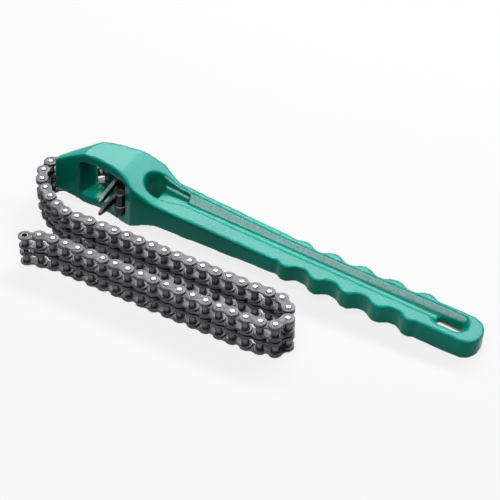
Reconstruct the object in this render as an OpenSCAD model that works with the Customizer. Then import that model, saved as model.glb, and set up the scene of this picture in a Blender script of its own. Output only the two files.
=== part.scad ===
// Chain wrench for round oil filters.
// A cast handle with a beak nose carries a two-strand bush chain and a two-pronged hook.
// The wrench lies on a table at z = 0 with its nose towards -x and the chain in front of it.

/* [Chain] */

// Length of one link from pin to pin (three eighths of an inch)
pitch = 9.525; // [9.4:0.025:9.65]
// Width of a link plate across its round ends
plate_width = 8.4; // [8:0.1:8.7]
// Width of a link plate at its waist
plate_waist = 6.4; // [6:0.1:7]
// Radius of the curve that forms the waist
waist_radius = 5; // [4:0.5:8]
// Thickness of every link plate
plate_thickness = 1.2; // [1:0.05:1.3]
// Outside diameter of a bush
bush_diameter = 4.9; // [4.6:0.1:5.2]
// Diameter of the link pins and of the anchor pin
pin_diameter = 3.3; // [3:0.1:3.5]
// Clear width between the inner plates of one strand
strand_width = 6.6; // [6.2:0.1:6.9]
// Gap between the two middle plates
middle_gap = 1.7; // [1.5:0.1:2.2]
// Length of pin that stands out of an outer plate
pin_proud = 0.5; // [0.3:0.1:0.8]
// Play between plates that turn on each other
side_play = 0.15; // [0.12:0.01:0.25]

/* [Fits] */

// Radial clearance of a turning fit
turning_clearance = 0.06; // [0.03:0.01:0.09]
// Radial clearance between pieces that are pressed together
press_clearance = 0.01; // [0.005:0.005:0.02]

/* [Chain lay] */

// Distance of the anchor pin behind the nose tip
anchor_x = 19.4; // [18.6:0.1:20]
// Distance of the anchor pin to the far side of the centre line
anchor_y = 17.1; // [16.8:0.1:18.2]
// Direction in which the first link leaves the anchor, in degrees
first_heading = 218; // [216:1:220]

/* [Casting] */

// Length from the nose tip to the end of the grip
casting_length = 306.5; // [305:0.5:310]
// Height of the blunt nose
nose_height = 25; // [22:0.5:28]
// Height of the head
head_height = 42.8; // [42:0.2:44]
// Height of the neck behind the head
neck_height = 17.2; // [16:0.2:18.4]
// Height at the front of the grip
grip_height = 12.4; // [12:0.2:13.4]
// Height near the end of the grip
heel_height = 15.2; // [14.6:0.2:16.2]
// Length of the slope that rises from the nose
ramp_length = 19; // [17:0.5:21]
// Distance of the head's rear edge behind the nose tip
crown_end = 46; // [45:0.5:47]
// Distance of the neck behind the nose tip
neck_x = 81; // [79:1:86]
// Distance of the grip's front behind the nose tip
grip_x = 164; // [160:0.5:165]
// Distance from the place where the heel touches the table to the end of the grip
heel_margin = 17.5; // [13:0.5:21]
// Radius of the hollow side that faces the filter
saddle_radius = 64; // [62:0.5:70]
// Distance of the deepest point of the hollow behind the nose tip
saddle_x = 29.5; // [28:0.5:31]
// Distance of the deepest point of the hollow from the centre line
saddle_y = 9; // [8.5:0.1:9.5]
// Distance of the neck's near side from the centre line
neck_near = 15.3; // [15:0.1:15.8]
// Distance of the neck's far side from the centre line
neck_far = 14.5; // [14.2:0.1:15]
// Distance of the near side from the centre line at the front of the grip
grip_near = 13.3; // [13:0.1:13.8]
// Distance of the far side from the centre line at the front of the grip
grip_far = 12.5; // [12.2:0.1:13]
// Distance of the near side from the centre line at the end of the grip
heel_near = 13.8; // [13.4:0.1:14.2]
// Distance of the far side from the centre line at the end of the grip
heel_far = 10.6; // [10.4:0.1:11]
// Radius of the grip's two end corners
heel_radius = 11; // [9:0.5:11.5]
// Near corner of the nose, to the near side of the centre line
nose_near = 17.4; // [17:0.1:17.8]
// Far corner of the nose, to the near side of the centre line
nose_far = 9.8; // [9.4:0.1:10.4]
// Distance of the knuckle on the slanted far side behind the nose tip
knuckle_x = 6.5; // [6:0.1:7]
// Distance of the knuckle to the near side of the centre line
knuckle_y = 2.2; // [2:0.1:2.8]
// Distance of the slanted side's end behind the nose tip
slant_x = 27; // [26.5:0.1:28]
// Distance of the slanted side's end from the centre line
slant_y = 11.3; // [11:0.1:11.6]
// Distance of the shoulders behind the nose tip
shoulder_x = 65; // [64:0.5:66]
// Distance of the far shoulder from the centre line
far_shoulder = 19; // [18.4:0.1:19.4]
// Distance of the near shoulder from the centre line
near_shoulder = 16.6; // [16.4:0.1:17]
// Distance of the shoulders' rear end behind the nose tip
shoulder_end = 80; // [78:0.5:84]
// Depth of the cut along the upper and lower edges of the slanted side
nose_bevel = 1.15; // [0.8:0.05:1.4]
// Angle of that cut from the level
bevel_angle = 28; // [26:1:30]

/* [Finger hollows] */

// Distance from the last ridge to the end of the grip
ridge_margin = 44.5; // [43:0.5:45]
// Distance between neighbouring hollows
hollow_pitch = 22; // [21.5:0.25:22.25]
// Distance by which the far ridges lag the near ones
far_lag = 1.5; // [0:0.25:2]
// Radius of a hollow
hollow_radius = 9; // [8.5:0.25:9.5]
// Distance of the near hollows' floors from the centre line
near_hollow = 10.8; // [10.4:0.1:11.2]
// Distance of the far hollows' floors from the centre line
far_hollow = 9.6; // [9.2:0.1:9.8]
// Distance of the near ridges from the centre line
near_ridge = 15.2; // [15:0.1:15.6]
// Distance of the far ridges from the centre line
far_ridge = 13.4; // [13.2:0.1:13.8]

/* [Head window] */

// Distance of the window's front end behind the nose tip
window_x = 15.2; // [14:0.2:17]
// Length of the window
window_length = 38.9; // [38:0.1:40]
// Height of the window
window_height = 28.8; // [28:0.2:30]
// Radius of the window's front corners
window_radius = 4; // [2:0.5:6]
// Distance of the cavity's rear wall from the centre line
cavity_y = 6.8; // [6:0.1:7]
// Distance of the far opening behind the nose tip
opening_x = 19.4; // [18.8:0.1:20]
// Width of the far opening
opening_width = 7; // [6:0.1:7.4]

/* [Recess] */

// Distance of the pear's round end behind the nose tip
pear_x = 70.8; // [70:0.2:71.4]
// Distance of the pear's round end from the centre line
pear_y = 1.5; // [1.2:0.1:2]
// Radius of the pear's round end
pear_radius = 9.8; // [9.4:0.1:10]
// Distance of the pear's narrow end behind the nose tip
pear_end = 90; // [87:1:95]
// Distance of the groove from the centre line, at the middle of the casting
groove_y = 2.8; // [2.4:0.1:3]
// Width of the groove's floor
groove_width = 5.3; // [4.8:0.1:5.8]
// Angle of the groove to the length of the wrench
groove_turn = -0.5; // [-0.8:0.1:-0.2]
// Lean of the recess walls from the upright
wall_lean = 31; // [26:1:34]
// Thickness of the web between the top and bottom recesses
web_thickness = 5; // [4.4:0.2:5.6]
// Distance of the web's front edge behind the nose tip
web_x = 71.4; // [71:0.2:74]
// Length of the hanging hole
hang_length = 18.4; // [17.6:0.2:19]
// Width of the hanging hole
hang_width = 8.2; // [7.6:0.1:8.6]
// Distance from the hanging hole's middle to the end of the grip
hang_margin = 22; // [21.5:0.25:23]
// Distance of the hanging hole to the near side of the centre line
hang_y = 0.5; // [0.2:0.1:0.8]
// Width of the ledge round the hanging hole
hang_ledge = 0.3; // [0.2:0.05:0.5]

/* [Hook] */

// Distance of the hook's pivot in front of the window's rear end
pivot_gap = 6.6; // [6.4:0.1:6.9]
// Distance of the hook's pivot to the near side of the centre line
pivot_y = 9; // [8.8:0.1:9]
// Diameter of the pivot pin
pivot_diameter = 3.6; // [3.2:0.1:3.8]
// Diameter of the pivot pin's head
pivot_head = 7.8; // [7.2:0.1:7.8]
// Thickness of the pivot pin's head
pivot_head_height = 0.9; // [0.7:0.1:1.2]
// Diameter of the hole in the pivot pin's head
pivot_hole = 2.8; // [2:0.1:2.8]
// Outside diameter of the hook's hub
hub_diameter = 7.8; // [7.6:0.1:8]
// Diameter of the collar at the foot of the hub
collar_diameter = 10; // [9:0.1:10.6]
// Height of the collar
collar_height = 6; // [5:0.5:8]
// Height of the hub above the middle plane
hub_top = 1; // [0.5:0.1:1.6]
// Radius of the hook's rounded back
back_radius = 6; // [5.6:0.1:6.1]
// Thickness of a prong along the wrench
prong_thickness = 2.8; // [2.4:0.1:3]
// Height of a prong at its root
prong_height = 4.6; // [4:0.1:5]
// Reach of the prong tips from the pivot
prong_reach = 18; // [16:0.5:19]
// Distance from the pivot to the prongs' inner side
prong_offset = 3.7; // [3.6:0.05:3.9]
// Angle by which the upper prong points down
prong_droop = 9; // [6:0.5:10]
// Play of the hook along its pivot
hook_play = 0.12; // [0.08:0.01:0.2]

/* [Hidden] */

$fn = 64;

// Half sizes of the casting
head_half = head_height / 2;
heel_half = heel_height / 2;
window_half = window_height / 2;
web_half = web_thickness / 2;
window_end = window_x + window_length;

// Places that are kept from the window's rear end or from the end of the grip
pivot_x = window_end - pivot_gap;
heel_x = casting_length - heel_margin;
hang_x = casting_length - hang_margin;
last_ridge = casting_length - ridge_margin;
first_ridge = last_ridge - 4 * hollow_pitch;

// Length of cuts that go right through
through = 2 * head_height;

// Sideways run of a leaning recess wall for each unit of its height
wall_run = tan(wall_lean);

// The casting rests on its belly and its heel, so the nose is tilted up
tilt = atan((head_half - heel_half) / (heel_x - crown_end));
lift = crown_end * sin(tilt) + head_half * cos(tilt) + 0.05;

// Ends of the slanted far side of the nose
knuckle = [knuckle_x, -knuckle_y];
slant_end = [slant_x, slant_y];
nose_rise = (head_half - nose_height / 2) / ramp_length;

// Reach of the tongue that carries the anchor pin, and its turn from the length of the wrench
tongue_reach = 16;
tongue_turn = -21;

// Heights of the chain's plates above the table
inner_low = pin_proud + plate_thickness + side_play;
strand_height = 2 * plate_thickness + strand_width;
strand_space = 2 * side_play + 2 * plate_thickness + middle_gap;
strand_pitch = strand_height + strand_space;
middle_low = inner_low + strand_height + side_play;
middle_high = middle_low + plate_thickness + middle_gap;
outer_high = inner_low + strand_pitch + strand_height + side_play;
chain_height = outer_high + plate_thickness + pin_proud;

// Number of links from the anchor to the free end
links = 49;

// Bends of the chain as it lies: the link and the degrees that it turns from the one before
bends = [
    [2, 2], [3, 2], [4, 2], [5, 52], [6, 24], [7, 18], [8, 6], [9, 8], [10, 8], [11, 17], [12, 7],
    [13, -4], [26, 4], [27, -7], [28, -33], [29, -26], [30, -53], [31, -51], [32, -7], [33, -7],
    [47, 2], [48, 8], [49, 14],
];

function total(list, i = 0) = i < len(list) ? list[i] + total(list, i + 1) : 0;

function heading(link) = first_heading + total([for (b = bends) if (b[0] <= link) b[1]]);

function step(link) = pitch * [cos(heading(link)), sin(heading(link))];

function pin_place(i) = i == 0 ? [anchor_x, anchor_y] : pin_place(i - 1) + step(i);

// The origin is in the middle of the space that the wrench covers on the table
pins = [for (i = [0 : links]) pin_place(i)];
left = min([for (p = pins) p[0]]) - plate_width / 2;
right = casting_length * cos(tilt) - heel_half * sin(tilt);
front = min([for (p = pins) p[1]]) - plate_width / 2;
back = max(anchor_y + plate_width / 2, far_shoulder);
middle = [(left + right) / 2, (front + back) / 2];

// Distances from the pivot back to the hook's inner face and to the roots of the prongs
back_face = 2.1;
prong_root = 4.5;
// Space above the hook's back, and round the head of its pivot pin
headroom = 1.2;
head_clearance = 0.2;

enamel = [0.10, 0.62, 0.55];
steel = [0.62, 0.61, 0.66];
dark_steel = [0.12, 0.12, 0.12];

function two_digits(n) = n < 10 ? str("0", n) : str(n);

function link_name(i) = i % 2 == 1
    ? str("inner_link_", two_digits((i + 1) / 2))
    : str("outer_link_", two_digits(i / 2));

// Places a piece in the shared frame
module on_table() {
    translate([-middle[0], -middle[1], 0])
        children();
}

// Places a piece in the frame of the tilted casting, from its nose and its middle plane
module on_casting() {
    on_table()
        translate([0, 0, lift])
            rotate([0, tilt, 0])
                children();
}

function ease(t) = t * t * (3 - 2 * t);

function mix(a, b, t) = a + (b - a) * t;

// Rear slope of the head, from the crown down to the neck
function slope_point(t) = [
    mix(crown_end, neck_x, t),
    mix(head_half, neck_height / 2, ease(t)),
];

// Top edge of the casting seen from the side
function top_edge() = concat(
    [[0, nose_height / 2], [ramp_length, head_half]],
    [for (i = [0 : 12]) slope_point(i / 12)],
    [[grip_x, grip_height / 2], [heel_x, heel_half], [casting_length, heel_half - 0.9]]
);

module side_shape() {
    top = top_edge();
    last = len(top) - 1;
    bottom = [for (i = [0 : last]) [top[last - i][0], -top[last - i][1]]];
    polygon(concat(top, bottom));
}

// Level from which the ridges rise and into which the hollows are cut
function ridge_foot(ridge, hollow) = mix(hollow, ridge, 0.4);

// Outline of the casting seen from above, before the ridges and hollows
module plan_shape() {
    square_end = casting_length - heel_radius;
    near_foot = ridge_foot(near_ridge, near_hollow);
    far_foot = ridge_foot(far_ridge, far_hollow);
    near_corner = heel_near - heel_radius;
    far_corner = heel_far - heel_radius;
    polygon([
        [0, -nose_near],
        [shoulder_x - 1, -near_shoulder],
        [shoulder_end, -neck_near],
        [grip_x, -grip_near],
        [first_ridge, -near_foot],
        [last_ridge, -near_foot],
        [last_ridge + hollow_pitch / 3, -heel_near],
        [square_end, -heel_near],
        [square_end, -near_corner],
        [casting_length, -near_corner],
        [casting_length, far_corner],
        [square_end, far_corner],
        [square_end, heel_far],
        [last_ridge + far_lag + hollow_pitch / 3, heel_far],
        [last_ridge + far_lag, far_foot],
        [first_ridge + far_lag, far_foot],
        [grip_x, grip_far],
        [shoulder_end, neck_far],
        [shoulder_x, far_shoulder],
        slant_end,
        knuckle,
        [0, -nose_far],
    ]);
    for (y = [-near_corner, far_corner])
        translate([square_end, y])
            circle(r = heel_radius);
}

// Radius with which a ridge flows into the hollows beside it
function ridge_radius(rise) =
    1.006 * (pow(hollow_pitch / 2, 2) + rise * rise) / (2 * rise) - hollow_radius;

// Five ridges along one side of the grip
module ridges(side, start, ridge, hollow) {
    radius = ridge_radius(ridge - hollow);
    for (i = [0 : 4])
        translate([start + i * hollow_pitch, side * (ridge - radius)])
            circle(r = radius);
}

// Four finger hollows between the ridges
module hollows(side, start, hollow) {
    for (i = [0 : 3])
        translate([start + (i + 0.5) * hollow_pitch, side * (hollow + hollow_radius)])
            circle(r = hollow_radius);
}

module grip_shape() {
    far_start = first_ridge + far_lag;
    difference() {
        union() {
            plan_shape();
            ridges(-1, first_ridge, near_ridge, near_hollow);
            ridges(1, far_start, far_ridge, far_hollow);
        }
        hollows(-1, first_ridge, near_hollow);
        hollows(1, far_start, far_hollow);
    }
}

module casting_block() {
    intersection() {
        rotate([90, 0, 0])
            linear_extrude(height = through, center = true)
                side_shape();
        linear_extrude(height = through, center = true)
            difference() {
                grip_shape();
                translate([saddle_x, -saddle_y - saddle_radius])
                    circle(r = saddle_radius);
            }
    }
}

// Cavity behind the near window, with the opening in its far wall
module cavity() {
    opening_end = opening_x + opening_width;
    intersection() {
        linear_extrude(height = through, center = true)
            polygon([
                [window_x, -through / 2],
                [window_end, -through / 2],
                [window_end, cavity_y],
                [opening_end, cavity_y],
                [opening_end, through / 2],
                [opening_x, through / 2],
                [opening_x, cavity_y - 1.6],
                [window_x, -13],
            ]);
        rotate([90, 0, 0])
            linear_extrude(height = through, center = true)
                window_shape();
    }
}

// Window seen from the side, with its front corners rounded
module window_shape() {
    inner_half = window_half - window_radius;
    translate([window_x, -inner_half])
        square([window_length, 2 * inner_half]);
    translate([window_x + window_radius, -window_half])
        square([window_length - window_radius, window_height]);
    for (z = [-inner_half, inner_half])
        translate([window_x + window_radius, z])
            circle(r = window_radius);
}

// Distance of the groove's middle from the centre line
function groove_middle(x) = groove_y + (x - casting_length / 2) * tan(groove_turn);

// Pear seen from above, with its narrow end as wide as the groove's mouth
module pear_shape() {
    narrow = groove_width / 2 + wall_run * (neck_height / 2 - web_half);
    middle_point = [pear_x, pear_y];
    tip = [pear_end, groove_middle(pear_end)];
    // The straight sides start just inside the round end
    wide = pear_radius - 0.1;
    aim = atan2(tip[1] - pear_y, pear_end - pear_x);
    lean = acos((wide - narrow) / norm(tip - middle_point));
    translate(middle_point)
        circle(r = pear_radius);
    polygon([
        middle_point + wide * [cos(aim + lean), sin(aim + lean)],
        tip + narrow * [cos(aim + lean), sin(aim + lean)],
        tip + narrow * [cos(aim - lean), sin(aim - lean)],
        middle_point + wide * [cos(aim - lean), sin(aim - lean)],
    ]);
}

// Groove with leaning walls, from the middle of the pear to the hanging hole
module groove() {
    half = groove_width / 2;
    mouth = half + wall_run * head_half;
    start = (pear_x + pear_end) / 2;
    translate([start, groove_middle(start), web_half])
        rotate([90, 0, 90 + groove_turn])
            linear_extrude(height = hang_x - start)
                polygon([[-half, 0], [half, 0], [mouth, head_half], [-mouth, head_half]]);
}

// Mouth of the hanging hole, with walls that lean as the groove's do
module hang_mouth() {
    reach = (hang_length - hang_width) / 2;
    foot = hang_width / 2 + hang_ledge;
    mouth = foot + wall_run * head_half;
    translate([hang_x, -hang_y, web_half]) {
        translate([-reach, 0, 0])
            rotate([90, 0, 90])
                linear_extrude(height = 2 * reach)
                    polygon([[-foot, 0], [foot, 0], [mouth, head_half], [-mouth, head_half]]);
        for (side = [-1, 1])
            translate([side * reach, 0, 0])
                cylinder(r1 = foot, r2 = mouth, h = head_half);
    }
}

// Recesses in the top and bottom of the handle
module recesses() {
    for (side = [0, 1])
        mirror([0, 0, side]) {
            translate([0, 0, web_half])
                linear_extrude(height = through)
                    pear_shape();
            groove();
            hang_mouth();
        }
    // The pear goes right through in front of the web
    linear_extrude(height = through, center = true)
        intersection() {
            pear_shape();
            translate([web_x - through, -through / 2])
                square(through);
        }
}

module hanging_hole() {
    reach = (hang_length - hang_width) / 2;
    linear_extrude(height = through, center = true)
        translate([hang_x, -hang_y]) {
            square([2 * reach, hang_width], center = true);
            for (side = [-1, 1])
                translate([side * reach, 0])
                    circle(d = hang_width);
        }
}

// Slanted cuts along the upper and lower edges of the nose's slanted side
module nose_bevels() {
    run = slant_end - knuckle;
    yaw = atan2(run[1], run[0]);
    climb = atan(nose_rise * cos(yaw));
    for (side = [0, 1])
        mirror([0, 0, side])
            translate([knuckle_x, -knuckle_y, nose_height / 2 + nose_rise * knuckle_x])
                rotate([-bevel_angle, -climb, yaw])
                    translate([-through / 2, -through / 2, -nose_bevel])
                        cube(through);
}

// Tongue that carries the anchor pin between the two strands of the first link
module anchor_tongue() {
    low = middle_low + 0.05;
    translate([anchor_x, anchor_y, low])
        linear_extrude(height = strand_space - 2 * side_play - 0.1) {
            circle(d = plate_width - 0.4);
            rotate(tongue_turn)
                translate([0, -plate_width / 2 + 0.2])
                    square([tongue_reach, plate_width - 0.4]);
        }
}

// Green cast handle with its head, nose and grip
module casting() {
    color(enamel)
        difference() {
            union() {
                on_casting()
                    difference() {
                        casting_block();
                        cavity();
                        recesses();
                        hanging_hole();
                        nose_bevels();
                        translate([pivot_x, -pivot_y, -through / 2])
                            cylinder(d = pivot_diameter + 2 * press_clearance, h = through / 2);
                    }
                on_table()
                    anchor_tongue();
            }
            on_table()
                translate([anchor_x, anchor_y, -1])
                    cylinder(d = pin_diameter + 2 * press_clearance, h = chain_height + 2);
        }
}

// One prong, with its tip drawn down to a blunt point
module prong(height, droop) {
    length = prong_root + prong_reach;
    translate([-prong_offset - prong_thickness, prong_root, height])
        rotate([droop, 0, 0])
            translate([0, 0, -prong_height / 2])
                intersection() {
                    linear_extrude(height = prong_height)
                        polygon([
                            [0, 0],
                            [prong_thickness, 0],
                            [prong_thickness, -length + 3],
                            [prong_thickness - 0.4, -length],
                            [0.9, -length],
                            [0, -length + 5],
                        ]);
                    translate([-1, 0, 0])
                        rotate([90, 0, 90])
                            linear_extrude(height = prong_thickness + 2)
                                polygon([
                                    [0, 0],
                                    [0, prong_height],
                                    [-length + 6, prong_height],
                                    [-length, prong_height - 1.2],
                                    [-length, 1.2],
                                    [-length + 6, 0],
                                ]);
                }
}

// Black hook with one prong for each strand of the chain
module hook() {
    low = -window_half + hook_play;
    high = window_half - headroom;
    color(dark_steel)
        on_casting()
            translate([pivot_x, -pivot_y, 0])
                difference() {
                    union() {
                        translate([0, 0, low])
                            cylinder(d = hub_diameter, h = hub_top - low);
                        translate([0, 0, low])
                            cylinder(d = collar_diameter, h = collar_height);
                        // Rounded back that fills the window's end behind the hub
                        intersection() {
                            translate([0, 0, low])
                                cylinder(r = back_radius, h = high - low);
                            translate([-back_radius, back_face, low])
                                cube([2 * back_radius, back_radius, high - low]);
                        }
                        // Bridge that joins the prongs to the back
                        translate([
                            -prong_offset - prong_thickness,
                            back_face,
                            -strand_pitch / 2 - prong_height / 2,
                        ])
                            cube([
                                prong_thickness + prong_offset,
                                prong_root - back_face,
                                strand_pitch + prong_height,
                            ]);
                        prong(-strand_pitch / 2, 0);
                        prong(strand_pitch / 2, prong_droop);
                    }
                    translate([0, 0, -through / 2])
                        cylinder(d = pivot_diameter + 2 * turning_clearance, h = through);
                    translate([0, 0, hub_top])
                        cylinder(d = pivot_head + 2 * head_clearance, h = through);
                }
}

// Hollow-headed pin that is pressed into the head's lower cheek
module hook_pivot_pin() {
    foot = -head_half + 0.6;
    color(dark_steel)
        on_casting()
            translate([pivot_x, -pivot_y, 0])
                difference() {
                    union() {
                        translate([0, 0, foot])
                            cylinder(d = pivot_diameter, h = hub_top + hook_play - foot);
                        translate([0, 0, hub_top + hook_play])
                            cylinder(d = pivot_head, h = pivot_head_height);
                    }
                    translate([0, 0, hub_top - 4])
                        cylinder(d = pivot_hole, h = through);
                }
}

// Plain pin that holds the chain's first link on the tongue
module anchor_pin() {
    color(steel)
        on_table()
            translate([anchor_x, anchor_y, 0])
                cylinder(d = pin_diameter, h = chain_height);
}

// Figure-of-eight link plate with a hole at each end
module plate(hole) {
    linear_extrude(height = plate_thickness)
        difference() {
            union() {
                for (x = [0, pitch])
                    translate([x, 0])
                        circle(d = plate_width);
                translate([0, -plate_width / 2])
                    square([pitch, plate_width]);
            }
            for (side = [-1, 1])
                translate([pitch / 2, side * (plate_waist / 2 + waist_radius)])
                    circle(r = waist_radius);
            for (x = [0, pitch])
                translate([x, 0])
                    circle(d = hole);
        }
}

module bush() {
    difference() {
        cylinder(d = bush_diameter, h = strand_height);
        translate([0, 0, -1])
            cylinder(d = pin_diameter + 2 * turning_clearance, h = strand_height + 2);
    }
}

// Inner link: two plates and two bushes in each strand
module inner_link() {
    for (z = [inner_low, inner_low + strand_pitch])
        translate([0, 0, z]) {
            plate(bush_diameter + 2 * press_clearance);
            translate([0, 0, plate_thickness + strand_width])
                plate(bush_diameter + 2 * press_clearance);
            for (x = [0, pitch])
                translate([x, 0, 0])
                    bush();
        }
}

// Outer link: two outer plates, two middle plates and two long pins
module outer_link() {
    for (z = [pin_proud, middle_low, middle_high, outer_high])
        translate([0, 0, z])
            plate(pin_diameter + 2 * press_clearance);
    for (x = [0, pitch])
        translate([x, 0, 0])
            cylinder(d = pin_diameter, h = chain_height);
}

// Link of the chain at its place between two pins
module chain_link(i) {
    color(steel)
        on_table()
            translate([pins[i - 1][0], pins[i - 1][1], 0])
                rotate(heading(i))
                    if (i % 2 == 1)
                        inner_link();
                    else
                        outer_link();
}

casting();
hook();
hook_pivot_pin();
anchor_pin();
for (i = [1 : links]) chain_link(i);
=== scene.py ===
# %% [markdown]
# A chain wrench for oil filters, dressed for a studio picture.
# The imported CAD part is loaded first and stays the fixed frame: every piece below sits
# exactly where its solid is, and rides on the same body, so that the chain still turns.

from math import degrees, radians

import bmesh
import bpy
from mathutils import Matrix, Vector


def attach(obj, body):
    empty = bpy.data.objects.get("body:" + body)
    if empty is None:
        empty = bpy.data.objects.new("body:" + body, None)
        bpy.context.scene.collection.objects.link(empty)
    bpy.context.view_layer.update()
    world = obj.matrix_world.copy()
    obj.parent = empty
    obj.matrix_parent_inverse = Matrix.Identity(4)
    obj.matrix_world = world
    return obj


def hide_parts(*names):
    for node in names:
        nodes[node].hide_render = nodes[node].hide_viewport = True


MM = 0.001
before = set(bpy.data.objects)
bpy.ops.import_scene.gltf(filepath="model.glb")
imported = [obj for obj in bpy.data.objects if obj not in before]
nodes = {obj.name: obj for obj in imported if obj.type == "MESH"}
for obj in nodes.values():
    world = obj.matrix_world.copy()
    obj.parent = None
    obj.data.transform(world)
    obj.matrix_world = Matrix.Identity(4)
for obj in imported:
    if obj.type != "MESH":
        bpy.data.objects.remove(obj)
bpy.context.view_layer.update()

# %% [markdown]
# Finishes are built from shader nodes. Colours are written as sRGB hex, the way a paint
# chart gives them, and Blender wants them linear, so one function turns one into the other.
# Another small function adds a node, sets it up and links it, to keep each finish readable.


# %% Helpers for finishes
def linear(code):
    """Linear colour, with an alpha of 1, of an sRGB hex code such as 1f7a66."""
    parts = [int(code[i : i + 2], 16) / 255 for i in (0, 2, 4)]
    return [c / 12.92 if c <= 0.04045 else ((c + 0.055) / 1.055) ** 2.4 for c in parts] + [1]


def add_node(tree, kind, settings=None, values=None, links=None):
    """A new node: settings are its properties, values its sockets, links its incoming wires."""
    node = tree.nodes.new(kind)
    for name, value in (settings or {}).items():
        setattr(node, name, value)
    for name, value in (values or {}).items():
        node.inputs[name].default_value = value
    for name, socket in (links or {}).items():
        tree.links.new(socket, node.inputs[name])
    return node


def new_finish(name):
    """An empty material, and its node tree."""
    finish = bpy.data.materials.new(name)
    finish.use_nodes = True
    finish.node_tree.nodes.clear()
    return finish, finish.node_tree


def show(tree, shader):
    """Wires a shader to the material's output."""
    add_node(tree, "ShaderNodeOutputMaterial", links={"Surface": shader.outputs[0]})


def mottled_colour(tree, grain_mm, light, dark):
    """A colour that wanders between two hex codes over patches of about grain_mm."""
    place = add_node(tree, "ShaderNodeTexCoord")
    patches = add_node(
        tree,
        "ShaderNodeTexNoise",
        values={"Scale": 1 / (grain_mm * MM), "Detail": 3.0},
        links={"Vector": place.outputs["Object"]},
    )
    ramp = add_node(tree, "ShaderNodeValToRGB", links={"Fac": patches.outputs["Fac"]})
    ramp.color_ramp.elements[0].position = 0.35
    ramp.color_ramp.elements[0].color = linear(dark)
    ramp.color_ramp.elements[1].position = 0.65
    ramp.color_ramp.elements[1].color = linear(light)
    return place, ramp


def ripple(tree, place, grain_mm, height_mm, strength):
    """A bump of the given grain and height, for surfaces that are not quite flat."""
    grain = add_node(
        tree,
        "ShaderNodeTexNoise",
        values={"Scale": 1 / (grain_mm * MM), "Detail": 2.0},
        links={"Vector": place.outputs["Object"]},
    )
    return add_node(
        tree,
        "ShaderNodeBump",
        values={"Strength": strength, "Distance": height_mm * MM},
        links={"Height": grain.outputs["Fac"]},
    )


def facing(tree, place, direction, start, full):
    """A value that climbs from 0 to 1 where a face turns towards a direction."""
    match = add_node(
        tree,
        "ShaderNodeVectorMath",
        settings={"operation": "DOT_PRODUCT"},
        values={1: direction},
        links={0: place.outputs["Normal"]},
    )
    return add_node(
        tree,
        "ShaderNodeMapRange",
        values={"From Min": start, "From Max": full},
        links={"Value": match.outputs["Value"]},
    )


def mixed(tree, share, first, second):
    """A shader that goes from the first to the second as the share goes from 0 to 1."""
    mix = add_node(tree, "ShaderNodeMixShader", links={"Fac": share})
    tree.links.new(first.outputs[0], mix.inputs[1])
    tree.links.new(second.outputs[0], mix.inputs[2])
    return mix


def combined(tree, operation, first, second):
    """The socket that gives two sockets combined, such as their product."""
    settings = {"operation": operation}
    return add_node(tree, "ShaderNodeMath", settings, links={0: first, 1: second}).outputs[0]


print("helpers ready")

# %% [markdown]
# The handle is cast iron under green gloss enamel. Enamel flows before it sets, so it is
# smooth and wet-looking, with a faint orange-peel ripple from the rough casting below.
# On the far wall of the long groove a pale, rough paint is mixed in as a painted sheen of
# the light that wall faces. That wall is found by the way it faces and by its distance to
# the back, so no face has to be picked by hand.

# %% Gloss enamel on cast iron
WALL_FACING = (0.03, -0.857, 0.514)
WALL_BACK = 34.5 * MM
WALL_BLEND = 1 * MM
SPECK_MM = 1.6


def far_wall_sheen_share(tree, place):
    """A value that is near 1 on the groove's far wall, where the painted sheen lies in patches,
    and 0 elsewhere.
    """
    turned = facing(tree, place, WALL_FACING, start=0.88, full=0.97)
    spot = add_node(tree, "ShaderNodeSeparateXYZ", links={"Vector": place.outputs["Object"]})
    behind = add_node(
        tree,
        "ShaderNodeMapRange",
        values={"From Min": WALL_BACK, "From Max": WALL_BACK + WALL_BLEND},
        links={"Value": spot.outputs["Y"]},
    )
    specks = add_node(
        tree,
        "ShaderNodeTexNoise",
        values={"Scale": 1 / (SPECK_MM * MM), "Detail": 4.0},
        links={"Vector": place.outputs["Object"]},
    )
    # Patches where the painted sheen is stronger or weaker.
    patchy_sheen = add_node(
        tree,
        "ShaderNodeMapRange",
        values={"From Min": 0.38, "From Max": 0.56, "To Min": 0.7, "To Max": 0.95},
        links={"Value": specks.outputs["Fac"]},
    )
    on_wall = combined(tree, "MULTIPLY", turned.outputs[0], behind.outputs[0])
    return combined(tree, "MULTIPLY", on_wall, patchy_sheen.outputs[0])


def gloss_enamel():
    """Green enamel, glossy all over but for the far wall of the groove, which gets a painted
    sheen.
    """
    finish, tree = new_finish("gloss_green_enamel")
    place, colour = mottled_colour(tree, 30, "008c78", "008270")
    peel = ripple(tree, place, grain_mm=2.2, height_mm=0.04, strength=0.2)
    grit = ripple(tree, place, grain_mm=0.8, height_mm=0.1, strength=0.6)
    paint = add_node(
        tree,
        "ShaderNodeBsdfPrincipled",
        values={"Roughness": 0.2, "Specular IOR Level": 0.12, "Specular Tint": linear("cfe6ff")},
        links={"Base Color": colour.outputs["Color"], "Normal": peel.outputs["Normal"]},
    )
    # Painted sheen: a pale rough paint that stands in for the light the groove's far wall
    # catches.
    painted_sheen = add_node(
        tree,
        "ShaderNodeBsdfPrincipled",
        values={"Base Color": linear("bfe3e6"), "Roughness": 0.5},
        links={"Normal": grit.outputs["Normal"]},
    )
    show(tree, mixed(tree, far_wall_sheen_share(tree, place), paint, painted_sheen))
    return finish


enamel = gloss_enamel()
print("made", enamel.name)

# %% [markdown]
# Chain plates are punched from strip and tumbled, which leaves a grey satin with fine
# scuffs. Pin ends are ground and catch the light. Bushes are rolled and lightly oiled.
# The hook is blackened, and its upward faces get a painted grey sheen.

# %% Steels of the chain and the hook
UP = (0, 0, 1)


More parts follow.
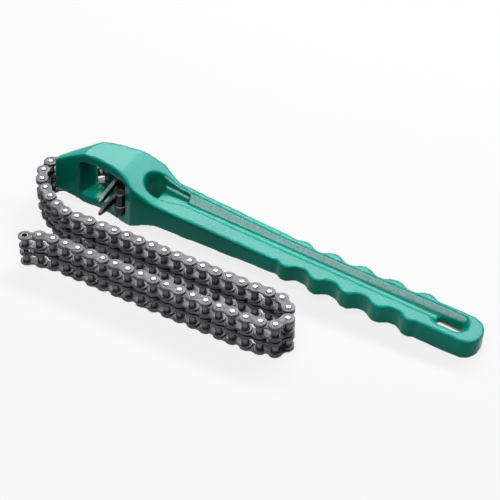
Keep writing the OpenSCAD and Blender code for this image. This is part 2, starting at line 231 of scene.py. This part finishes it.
def bare_steel(name, light, dark, roughness, metallic, grain_mm):
    """Scuffed steel whose colour wanders between two hex codes."""
    finish, tree = new_finish(name)
    place, colour = mottled_colour(tree, grain_mm, light, dark)
    scuffs = ripple(tree, place, grain_mm=0.7, height_mm=0.02, strength=0.3)
    steel = add_node(
        tree,
        "ShaderNodeBsdfPrincipled",
        values={"Roughness": roughness, "Metallic": metallic},
        links={"Base Color": colour.outputs["Color"], "Normal": scuffs.outputs["Normal"]},
    )
    show(tree, steel)
    return finish


def black_with_painted_sheen(name):
    """Black steel with a painted grey sheen on the faces that look up."""
    finish, tree = new_finish(name)
    place, colour = mottled_colour(tree, 5, "1b1b1c", "101011")
    black = add_node(
        tree,
        "ShaderNodeBsdfPrincipled",
        values={"Roughness": 0.36, "Metallic": 0.4},
        links={"Base Color": colour.outputs["Color"]},
    )
    grey = add_node(
        tree,
        "ShaderNodeBsdfPrincipled",
        values={"Base Color": linear("8c8c8e"), "Roughness": 0.5, "Metallic": 0.3},
    )
    # Painted sheen: the faces that look up turn grey, standing in for the light they catch.
    upward_sheen = facing(tree, place, UP, start=0.75, full=0.95)
    show(tree, mixed(tree, upward_sheen.outputs[0], black, grey))
    return finish


plate_steel = bare_steel("tumbled_plate_steel", "57575b", "48484b", 0.5, 0.65, 4)
pin_steel = bare_steel("ground_pin_steel", "98979a", "858487", 0.35, 0.9, 2)
bush_steel = bare_steel("oiled_bush_steel", "6e6e74", "5c5c61", 0.35, 0.8, 3)
black_oxide = black_with_painted_sheen("black_oxide_steel")
worn_steel = bare_steel("worn_pivot_steel", "8a8886", "6c6a69", 0.38, 0.8, 1.5)
print("made", [m.name for m in (plate_steel, pin_steel, bush_steel, black_oxide, worn_steel)])

# %% [markdown]
# A CAD node is a loose skin of triangles. A copy with its doubles merged is a closed mesh
# that can be softened, which real castings and punched plates need: no edge is razor sharp.

# %% Merged copies of CAD nodes
MERGE = 0.001 * MM


def merged_copy(node):
    """A bmesh of a CAD node with its doubles merged."""
    skin = bmesh.new()
    skin.from_mesh(nodes[node].data)
    bmesh.ops.remove_doubles(skin, verts=skin.verts, dist=MERGE)
    return skin


def new_piece(name, skin, finishes):
    """A shown object at the origin, made from a bmesh that is freed."""
    mesh = bpy.data.meshes.new(name)
    skin.to_mesh(mesh)
    skin.free()
    for finish in finishes:
        mesh.materials.append(finish)
    piece = bpy.data.objects.new(name, mesh)
    bpy.context.scene.collection.objects.link(piece)
    return piece


def stand_for(piece, node, body):
    """The piece takes the node's place in the frame."""
    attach(piece, body)
    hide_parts(node)


print("points closer than", MERGE / MM, "mm are merged")

# %% [markdown]
# A sand casting has every edge rounded, because sharp sand crumbles. Bevelling hundreds of
# edges that meet at odd angles is fragile. Remeshing the solid in small cubes and then
# smoothing the result rounds them all at once, as sand and enamel do.

# %% The casting
CUBE = 0.8 * MM
SMOOTHING = {"factor": 0.5, "iterations": 6}


def round_edges(piece, cube):
    """Rounds every edge of a piece, on the scale of the given cube."""
    cubes = piece.modifiers.new("even cubes", "REMESH")
    cubes.mode = "VOXEL"
    cubes.voxel_size = cube
    cubes.use_smooth_shade = True
    soft = piece.modifiers.new("soft edges", "SMOOTH")
    soft.factor = SMOOTHING["factor"]
    soft.iterations = SMOOTHING["iterations"]


casting = new_piece("casting_enamelled", merged_copy("casting"), [enamel])
round_edges(casting, CUBE)
stand_for(casting, "casting", "casting")
print("casting remeshed in cubes of", CUBE / MM, "mm")

# %% [markdown]
# The hook is forged and blackened. It gets the same treatment with finer cubes, so that
# the prongs and the ring of the hub stay crisp.

# %% The hook
FINE_CUBE = 0.22 * MM
hook = new_piece("hook_forged", merged_copy("hook"), [black_oxide])
round_edges(hook, FINE_CUBE)
stand_for(hook, "hook", "hook")
print("hook remeshed in cubes of", FINE_CUBE / MM, "mm")

# %% [markdown]
# Plates, bushes and pins have plain shapes, so a bevel along their sharp edges is enough.
# The triangles of each flat face are first joined into one face, so that only true edges
# are left to bevel.


# %% Bevelled edges
FLAT = radians(0.5)
SHARP = radians(40)


def flat_faced_copy(node):
    """A merged copy of a node with the triangles of each flat face joined up."""
    skin = merged_copy(node)
    bmesh.ops.dissolve_limit(
        skin,
        angle_limit=FLAT,
        verts=skin.verts,
        edges=skin.edges,
        use_dissolve_boundaries=False,
    )
    return skin


def bevel_sharp_edges(skin, edge, segments):
    """Rounds the sharp edges of a bmesh and shades it smooth."""
    sharp = [e for e in skin.edges if len(e.link_faces) == 2 and e.calc_face_angle() > SHARP]
    bmesh.ops.bevel(
        skin,
        geom=sharp,
        offset=edge,
        offset_type="OFFSET",
        affect="EDGES",
        segments=segments,
        profile=0.5,
        clamp_overlap=True,
        material=-1,
    )
    for face in skin.faces:
        face.smooth = True


print("edges bevelled above", round(degrees(SHARP)), "degrees")

# %% [markdown]
# A link is one CAD node with several solids. Their heights tell what they are: plates are
# thin, a pin reaches through the whole chain, and a bush stands between the two.

# %% Chain links
PLATE_EDGE = 0.16 * MM
PLATE_THICKNESS = 1.2 * MM
CHAIN_HEIGHT = 26.1 * MM


def islands(skin):
    """The separate solids of a bmesh, each as a list of its faces."""
    left = set(skin.faces)
    while left:
        found = [left.pop()]
        for face in found:
            for edge in face.edges:
                for other in edge.link_faces:
                    if other in left:
                        left.remove(other)
                        found.append(other)
        yield found


def finish_index(faces):
    """Which finish a solid of a link has, told by its height: plate, pin or bush."""
    heights = [v.co.z for f in faces for v in f.verts]
    height = max(heights) - min(heights)
    if height < 2 * PLATE_THICKNESS:
        return 0
    return 1 if height > 0.9 * CHAIN_HEIGHT else 2


def softened_link(node):
    """A link with its sharp edges bevelled and its three steels told apart."""
    skin = flat_faced_copy(node)
    for faces in list(islands(skin)):
        index = finish_index(faces)
        for face in faces:
            face.material_index = index
    bevel_sharp_edges(skin, PLATE_EDGE, segments=2)
    return skin


links = sorted(name for name in nodes if name.startswith(("inner_link", "outer_link")))
for name in links:
    link = new_piece(name + "_steel", softened_link(name), [plate_steel, pin_steel, bush_steel])
    stand_for(link, name, name)
print("softened", len(links), "links")

# %% [markdown]
# The two loose pins are short turned pieces. Their edges are bevelled like those of the links.

# %% Pivot pin and anchor pin
PIN_EDGE = 0.2 * MM


def softened_pin(node):
    """A pin with its sharp edges bevelled."""
    skin = flat_faced_copy(node)
    bevel_sharp_edges(skin, PIN_EDGE, segments=3)
    return skin


pivot = new_piece("hook_pivot_turned", softened_pin("hook_pivot_pin"), [worn_steel])
stand_for(pivot, "hook_pivot_pin", "casting")
anchor = new_piece("anchor_pin_ground", softened_pin("anchor_pin"), [pin_steel])
stand_for(anchor, "anchor_pin", "casting")
print("made", pivot.name, anchor.name)

# %% [markdown]
# The photograph shows the wrench on white, lit by broad soft lamps from above. The floor is
# pale and keeps a faint shadow. The backdrop is white where the camera, a reflection or a
# see-through ray meets it, and dimmer as a source of light, so that the enamel stays deep.

# %% Floor and backdrop
WHITE = linear("ffffff")
FLOOR_HALF = 4
FLOOR_WHITENESS = 0.82
WORLD_GLOW = 0.06


def seen_directly(tree, share):
    """A value that is the given share for camera, mirror and see-through rays, and else 0."""
    path = add_node(tree, "ShaderNodeLightPath").outputs
    mirrored = combined(tree, "MAXIMUM", path["Is Glossy Ray"], path["Is Transmission Ray"])
    seen = combined(tree, "MAXIMUM", path["Is Camera Ray"], mirrored)
    settings = {"operation": "MULTIPLY"}
    part = add_node(tree, "ShaderNodeMath", settings, values={1: share}, links={0: seen})
    return part.outputs[0]


def studio_white():
    """A matt floor that is mostly plain white where it is seen directly."""
    finish, tree = new_finish("studio_white_floor")
    matt = add_node(tree, "ShaderNodeBsdfDiffuse", values={"Color": linear("b8b8b8")})
    glow = add_node(tree, "ShaderNodeEmission", values={"Color": WHITE, "Strength": 1.0})
    show(tree, mixed(tree, seen_directly(tree, FLOOR_WHITENESS), matt, glow))
    return finish


floor_skin = bmesh.new()
bmesh.ops.create_grid(floor_skin, x_segments=1, y_segments=1, size=FLOOR_HALF)
floor = new_piece("studio_floor", floor_skin, [studio_white()])

world = bpy.data.worlds.new("white_studio")
bpy.context.scene.world = world
world.use_nodes = True
sky = world.node_tree
sky.nodes.clear()
dim = add_node(sky, "ShaderNodeBackground", values={"Color": WHITE, "Strength": WORLD_GLOW})
plain = add_node(sky, "ShaderNodeBackground", values={"Color": WHITE, "Strength": 1.0})
blend = mixed(sky, seen_directly(sky, 1.0), dim, plain)
add_node(sky, "ShaderNodeOutputWorld", links={"Surface": blend.outputs[0]})
print("floor and world ready")

# %% [markdown]
# One large softbox stands where the level top faces mirror it into the camera, which gives
# the enamel its pale sheen. A weaker one overhead opens up the groove and the near sides.


# %% Lamps
def soft_lamp(name, place, aim, width, height, watts):
    """A rectangular lamp, in metres and watts, that is turned to its aim."""
    lamp = bpy.data.lights.new(name, "AREA")
    lamp.shape = "RECTANGLE"
    lamp.size = width
    lamp.size_y = height
    lamp.energy = watts
    holder = bpy.data.objects.new(name, lamp)
    holder.location = place
    holder.rotation_euler = (Vector(aim) - Vector(place)).to_track_quat("-Z", "Y").to_euler()
    bpy.context.scene.collection.objects.link(holder)
    return holder


soft_lamp("back_softbox", (-0.05, 0.8, 0.86), (0, 0, 0), width=1.7, height=0.25, watts=26)
soft_lamp("overhead_fill", (-0.2, -0.34, 1.2), (-0.05, 0, 0), width=0.5, height=0.5, watts=8)
print("lamps ready")

# %% [markdown]
# The camera repeats the photograph: from the front right and about 42 degrees above, with
# a long lens, so that the wrench runs across the picture from upper left to lower right.

# %% Camera
CAMERA_PLACE = Vector((430.56, -711.6, 779.0)) * MM
CAMERA_TURN = (radians(48.1), 0, radians(30.42))
LENS_MM = 128.4
SENSOR_MM = 36
eye = bpy.data.cameras.new("photo_camera")
eye.sensor_width = SENSOR_MM
eye.lens = LENS_MM
camera = bpy.data.objects.new("photo_camera", eye)
camera.location = CAMERA_PLACE
camera.rotation_euler = CAMERA_TURN
bpy.context.scene.collection.objects.link(camera)
bpy.context.scene.camera = camera
bpy.context.scene.view_settings.view_transform = "Standard"
print("camera at", [round(c, 3) for c in CAMERA_PLACE])
